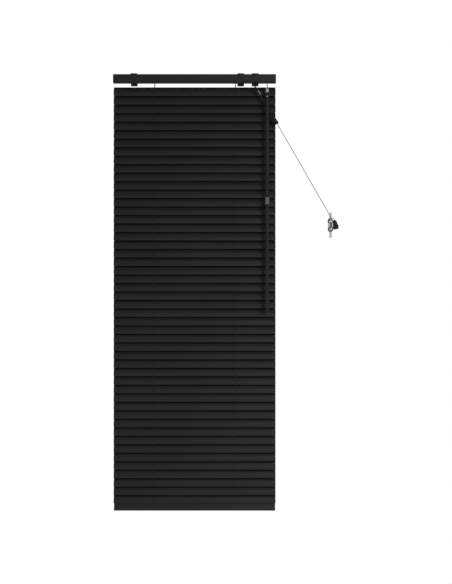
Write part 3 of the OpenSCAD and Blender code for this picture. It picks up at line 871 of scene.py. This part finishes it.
bar_outline = rounded_outline(25 * MM, 8 * MM, 3 * MM, steps=8)
bar_end = end_x - cap_wall - 0.04 * MM
bar = extruded("bar", bar_outline, -bar_end, bar_end)
in_bottom_rail(bar, "bottom_rail_bar", slat_enamel)
for side in (-1, 1):
    x0, x1 = sorted((side * end_x, side * (end_x - cap_wall)))
    cap = bevelled(extruded("cap", bar_outline, x0, x1), 0.4 * MM)
    in_bottom_rail(cap, f"bottom_cap_{'left' if side < 0 else 'right'}", black_plastic)
    plug = turned("plug", [(0, -0.0012), (0.0036, -0.0012), (0.0046, -0.0009), (0.005, -0.0003),
                           (0.005, 0), (0, 0)], (side * ladder_x, 0, -4.04 * MM), (0, 0, 1), 32)
    in_bottom_rail(plug, f"cord_plug_{'left' if side < 0 else 'right'}", black_plastic)
print("bottom rail from", [round(v, 4) for v in bottom_low], "to", [round(v, 4) for v in bottom_high])

# %% [markdown]
# ## The wand
# The wand is a row of turned pieces on one upright axis: cup and stem, frosted sleeve, dark collar, a bright
# frosted neck that paints the highlight at the top of the upper rod, upper rod, clouded connector, lower rod.
# Their levels are worked out downwards from the ball of the worm shaft. Its outlines are in millimetres.

# %% Wand levels
wand_low, wand_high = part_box("wand")
stem_length = 7.8
sleeve_length = 9.4
collar_length = 9
neck_length = 2.3
upper_rod = 255.4
connector_length = 17.6
lower_rod = 267.1
ball_z = wand_high[2] + 0.4 * MM
sleeve_top = ball_z - stem_length * MM
sleeve_end = sleeve_top - sleeve_length * MM
collar_end = sleeve_end - collar_length * MM
upper_end = collar_end - upper_rod * MM
connector_end = upper_end - connector_length * MM
lower_end = connector_end - lower_rod * MM
print("wand runs from", round(ball_z, 4), "to", round(lower_end, 4), "CAD end", round(wand_low[2], 4))


# %% Wand pieces
def on_wand(name, outline, level, material, steps=32):
    """A turned piece of the wand from (radius, depth) points below its level."""
    points = [(radius * MM, -depth * MM) for radius, depth in outline]
    piece = turned(name, points, (wand_x, wand_y, level), (0, 0, 1), steps)
    return placed(piece, "wand", "wand", material, "wand")


def arc(r, a0, a1, steps):
    """Points (radius, depth) of a circular arc, with angles in degrees below the horizontal."""
    angles = [math.radians(a0 + (a1 - a0) * s / steps) for s in range(steps + 1)]
    return [(r * math.cos(a), r * math.sin(a)) for a in angles]


cup_outer, cup_inner = 2.0, 1.4
cup = arc(cup_outer, 8, 65, 8) + [(0.72, 2.1), (0.7, 8.2), (0, 8.2), (0, cup_inner)]
cup += arc(cup_inner, 89, 11, 10)[1:]
on_wand("wand_cup", cup + [cup[0]], ball_z, dark_steel)
on_wand("wand_sleeve", [
    (0.8, 0.3), (2.6, 0), (3.5, 0.3), (3.9, 1.2), (3.9, 8.7), (3.7, 9.2), (3.2, 9.38), (0, 9.38), (0, 7),
    (0.8, 6.8), (0.8, 0.3)], sleeve_top, frosted_plastic, 40)
on_wand("wand_collar", [
    (0, 0), (3, 0), (3.5, 0.4), (3.6, 1.2), (3.4, 2.4), (3.4, 6.6), (3.6, 7.6), (3.3, 8.5), (2.6, 8.8),
    (0, 8.8)], sleeve_end, smoke_plastic)
# The neck is a bright frosted ring that paints the highlight at the top of the upper rod.
on_wand("wand_neck_painted_highlight", [
    (0, 8.84), (2.3, 8.84), (2.6, 9.2), (2.6, 10.9), (2.3, 11.26), (0, 11.26)], sleeve_end, frosted_plastic)
rod_r = 3.9
for name, level, length in (("wand_upper_rod", collar_end - neck_length * MM, upper_rod - neck_length),
                            ("wand_lower_rod", connector_end, lower_rod)):
    on_wand(name, [
        (0, 0), (rod_r - 0.7, 0), (rod_r - 0.2, 0.3), (rod_r, 1), (rod_r, length / 2), (rod_r, length - 1.4),
        (rod_r - 0.3, length - 0.6), (rod_r - 1, length - 0.1), (0, length - 0.05)], level, wand_plastic, 40)
on_wand("wand_connector", [
    (0, 0), (4.6, 0), (5.2, 0.4), (5.5, 1.2), (5.5, 5.5), (5.1, 6), (5.1, 11.4), (5.5, 11.9), (5.5, 16.1),
    (5.2, 16.9), (4.6, 17.36), (0, 17.36)], upper_end, grey_plastic, 40)

# %% [markdown]
# ## Brackets and cleat
# A bracket is one bent plate: a top plate on the ceiling, a hook over the headrail's front
# edge, a back plate whose tail shows below the headrail, and a shelf under it. The cleat is a
# base, a post and two horns of clouded plastic.

# %% Brackets
bracket_places = {"left": -153.5 * MM, "middle": 117 * MM, "right": 153.5 * MM}
bracket_width = 17 * MM
screw_hole_r = 2.25 * MM
wall_screw_z = -11.5 * MM
wall_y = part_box("wall_fixings")[1][1]
plate = 2 * MM
front_y = rail_low[1] - 1 * MM
inner_y = rail_high[1] + 0.02 * MM
hook_end = -plate - 4 * MM
plate_under = -plate + 0.01 * MM
shelf_front = 5 * MM
shelf_top = rail_low[2] - 0.01 * MM
shelf_under = rail_low[2] - 1 * MM
tail_end = rail_low[2] - 6.2 * MM
bracket_outline = [
    (front_y, 0), (front_y, hook_end), (-inner_y, hook_end), (-inner_y, plate_under), (inner_y, plate_under),
    (inner_y, shelf_top), (shelf_front, shelf_top), (shelf_front, shelf_under), (rail_high[1], shelf_under),
    (rail_high[1], tail_end), (wall_y, tail_end), (wall_y, 0)]
for label, x in bracket_places.items():
    bracket = extruded(f"bracket_{label}", bracket_outline, x - bracket_width / 2, x + bracket_width / 2)
    bevelled(bracket, 0.4 * MM)
    cut(bracket, [drill(screw_hole_r, 20 * MM, (x, 0, 0), (0, 0, 1)),
                  drill(screw_hole_r, 8 * MM, (x, wall_y, wall_screw_z), (0, 1, 0))])
    tidy_mesh(bracket.data)
    placed(bracket, "frame", "fixings", bracket_enamel, "wall_fixings")
print("brackets stand", round(-rail_high[2] * 1000, 2), "mm above the headrail")


# %% Cleat
def lofted(name, sections):
    """A closed skin over sections, each a list of points of the same count."""
    points = [p for ring in sections for p in ring]
    return add_mesh(name, points, skin_faces(len(sections), len(sections[0])))


cleat_x, cleat_z = 344.4 * MM, -383.5 * MM
cleat_screw_z = 7 * MM


def cleat_block(name, sections, steps=5):
    """A skin over upright rounded rectangles (y, width, height), in millimetres."""
    rings = []
    for y, width, height in sections:
        ring = rounded_outline(width * MM, height * MM, width * 0.42 * MM, (cleat_x, cleat_z), steps)
        rings.append([(px, y * MM, pz) for px, pz in ring])
    return lofted(name, rings)


horns = []
for z, width, thick, y in (
        (-31.8, 3.6, 2.0, -3.0), (-31.2, 5.2, 2.8, -2.8), (-30, 6.2, 3.3, -2.5), (-26, 6.6, 3.8, -2.1),
        (-12, 6.6, 4.0, -2.0), (0, 6.6, 4.0, -2.0), (12, 6.6, 4.0, -2.0), (26, 6.6, 3.8, -2.1),
        (30, 6.2, 3.3, -2.5), (31.2, 5.2, 2.8, -2.8), (31.8, 3.6, 2.0, -3.0)):
    ring = rounded_outline(width * MM, thick * MM, min(width, thick) * 0.45 * MM, (cleat_x, y * MM))
    horns.append([(px, py, cleat_z + z * MM) for px, py in ring])
horn = lofted("cleat_horns", horns)
post = cleat_block("cleat_post", (
    (-1.0, 6.0, 22.6), (0.4, 6.6, 24.0), (3, 7.0, 24.6), (8, 7.2, 24.8), (11, 7.4, 25), (12.6, 8.6, 27)))
base = cleat_block("cleat_base", (
    (12.0, 11, 29), (12.5, 11.8, 29.8), (13.2, 12, 30), (15.0, 12, 30)), steps=8)
for other in (post, base):
    modifier = horn.modifiers.new("join", "BOOLEAN")
    modifier.operation = "UNION"
    modifier.solver = "EXACT"
    modifier.object = other
bake(horn)
for other in (post, base):
    bpy.data.objects.remove(other)
cut(horn, [drill(1.75 * MM, 30 * MM, (cleat_x, 0, cleat_z + s * cleat_screw_z), (0, 1, 0)) for s in (-1, 1)])
tidy_mesh(horn.data)
horn.name = "wall_cleat"
placed(horn, "frame", "fixings", cleat_plastic, "wall_fixings")


# %% Screws
def screw(name, head, radius, length, way):
    """A screw that fills its hole: a domed head with a cross slot, and a blunt end."""
    piece = turned(name, [
        (0, -0.25 * MM), (radius * 0.6, -0.18 * MM), (radius, 0.1 * MM), (radius, length - 0.3 * MM),
        (radius * 0.7, length), (0, length)], head, way, 32)
    aim = Matrix.Translation(Vector(head)) @ Vector(way).to_track_quat("Z", "Y").to_matrix().to_4x4()
    long_side, short_side, depth = 1.2 * radius, 0.25 * radius, 0.5 * MM
    slots = [block("slot", (-x, -y, -depth), (x, y, depth))
             for x, y in ((long_side, short_side), (short_side, long_side))]
    for slot in slots:
        slot.data.transform(aim)
    cut(piece, slots)
    tidy_mesh(piece.data)
    return placed(piece, "frame", "fixings", steel, "wall_fixings")


for label, x in bracket_places.items():
    screw(f"ceiling_screw_{label}", (x, 0, -1.8 * MM), 2.15 * MM, 1.7 * MM, (0, 0, 1))
    screw(f"wall_screw_{label}", (x, wall_y - 2.2 * MM, wall_screw_z), 2.15 * MM, 2.1 * MM, (0, 1, 0))
for label, side in (("upper", 1), ("lower", -1)):
    head = (cleat_x, -3.4 * MM, cleat_z + side * cleat_screw_z)
    screw(f"cleat_screw_{label}", head, 1.68 * MM, 18.3 * MM, (0, 1, 0))

# %% [markdown]
# ## The working parts inside
# The rod, its drums, the worm shaft and the plastic housings already have their true shape in
# CAD, so they keep it and only get their finishes.

# %% Finishes of the carried-over parts
inner_finishes = {"rail_fittings": black_plastic, "tilt_rod": steel, "worm_shaft": dark_steel}
for node_name, material in inner_finishes.items():
    carried = frame["nodes"][node_name]
    carried.data.materials.clear()
    carried.data.materials.append(material)
print("carried over:", list(inner_finishes))

# %% [markdown]
# ## Floor, light and background
# The blind hangs in front of a plain white background, over a pale floor that glows a little so
# that it stays pale. A large soft light stands in front, to the right and a little above, and a
# weaker one fills from the left.


# %% Studio
def area_light(name, location, target, size, power):
    light = bpy.data.lights.new(name, "AREA")
    light.shape = "SQUARE"
    light.size = size
    light.energy = power
    lamp = in_scene(name, light)
    lamp.location = location
    lamp.rotation_euler = (Vector(target) - Vector(location)).to_track_quat("-Z", "Y").to_euler()


floor_level = -1.6
floor_half = 1.3
floor_corners = [(x * floor_half, y * floor_half, floor_level)
                 for x, y in ((-1, -1), (1, -1), (1, 1), (-1, 1))]
floor = add_mesh("floor", floor_corners, [(0, 1, 2, 3)], smooth=False)
floor.data.materials.append(grained("pale floor", (0.8, 0.8, 0.8), (0.84, 0.84, 0.84), rough=(0.7, 0.8),
                                    bump=0.01, dust=0.0, Emission_Color=(1, 1, 1, 1), Emission_Strength=0.5))
slats_middle = (0, 0, -0.6)
area_light("key", (1.5, -2.6, 0.7), slats_middle, size=1.2, power=28)
area_light("fill", (-1.8, -2.6, -0.9), slats_middle, size=1.8, power=6.8)
world = bpy.data.worlds.new("studio")
bpy.context.scene.world = world
world.use_nodes = True
tree = world.node_tree
background = tree.nodes["Background"]
backdrop_strength = 1.0
surrounding_strength = 0.135
ray = node(tree, "ShaderNodeLightPath")
seen = math_node(tree, "MAXIMUM", ray.outputs["Is Camera Ray"], ray.outputs["Is Transmission Ray"])
level = node(tree, "ShaderNodeMapRange", {
    "Value": seen, "To Min": surrounding_strength, "To Max": backdrop_strength})
tree.links.new(level.outputs["Result"], background.inputs["Strength"])
background.inputs["Color"].default_value = (1, 1, 1, 1)
bpy.context.scene.view_settings.view_transform = "Standard"
